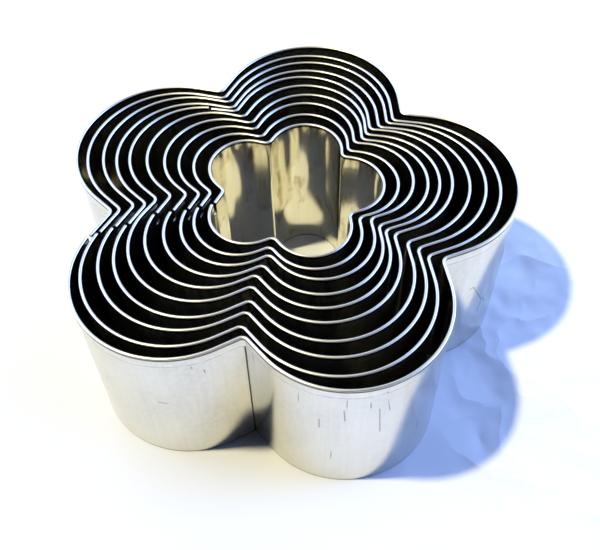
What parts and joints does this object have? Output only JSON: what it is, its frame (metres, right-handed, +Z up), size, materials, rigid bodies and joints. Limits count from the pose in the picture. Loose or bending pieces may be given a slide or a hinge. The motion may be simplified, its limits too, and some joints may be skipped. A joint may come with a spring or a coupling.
{
  "type": "nested cookie cutter set",
  "caption": "Nested set of flower-shaped cookie cutters in stainless steel strip, with a folded top edge and a plain cutting edge.",
  "frame": {"origin": "below the middle of the largest cutter's bounding box, on the surface that the cutting edges stand on", "axes": "+Z up, from the cutting edges to the folded rims; +X from the middle towards the tip of one petal of the largest cutter, -X towards the valley beside its seam"},
  "size_m": [0.113, 0.1164, 0.046],
  "materials": {
    "steel": "satin rolled stainless sheet with a bright folded rim and light scuffs"
  },
  "bodies": {
    "cutter_01": {"cutter_01": "steel"},
    "cutter_02": {"cutter_02": "steel"},
    "cutter_03": {"cutter_03": "steel"},
    "cutter_04": {"cutter_04": "steel"},
    "cutter_05": {"cutter_05": "steel"},
    "cutter_06": {"cutter_06": "steel"},
    "cutter_07": {"cutter_07": "steel"},
    "cutter_08": {"cutter_08": "steel"},
    "cutter_09": {"cutter_09": "steel"},
    "cutter_10": {"cutter_10": "steel"}
  },
  "joints": [
    {"name": "cutter_02_lift", "type": "slide", "parent": "cutter_01", "child": "cutter_02", "axis": [0, 0, 1], "range_m": [0, 0.05]},
    {"name": "cutter_03_lift", "type": "slide", "parent": "cutter_01", "child": "cutter_03", "axis": [0, 0, 1], "range_m": [0, 0.05]},
    {"name": "cutter_04_lift", "type": "slide", "parent": "cutter_01", "child": "cutter_04", "axis": [0, 0, 1], "range_m": [0, 0.05]},
    {"name": "cutter_05_lift", "type": "slide", "parent": "cutter_01", "child": "cutter_05", "axis": [0, 0, 1], "range_m": [0, 0.05]},
    {"name": "cutter_06_lift", "type": "slide", "parent": "cutter_01", "child": "cutter_06", "axis": [0, 0, 1], "range_m": [0, 0.05]},
    {"name": "cutter_07_lift", "type": "slide", "parent": "cutter_01", "child": "cutter_07", "axis": [0, 0, 1], "range_m": [0, 0.05]},
    {"name": "cutter_08_lift", "type": "slide", "parent": "cutter_01", "child": "cutter_08", "axis": [0, 0, 1], "range_m": [0, 0.05]},
    {"name": "cutter_09_lift", "type": "slide", "parent": "cutter_01", "child": "cutter_09", "axis": [0, 0, 1], "range_m": [0, 0.05]},
    {"name": "cutter_10_lift", "type": "slide", "parent": "cutter_01", "child": "cutter_10", "axis": [0, 0, 1], "range_m": [0, 0.05]}
  ]
}
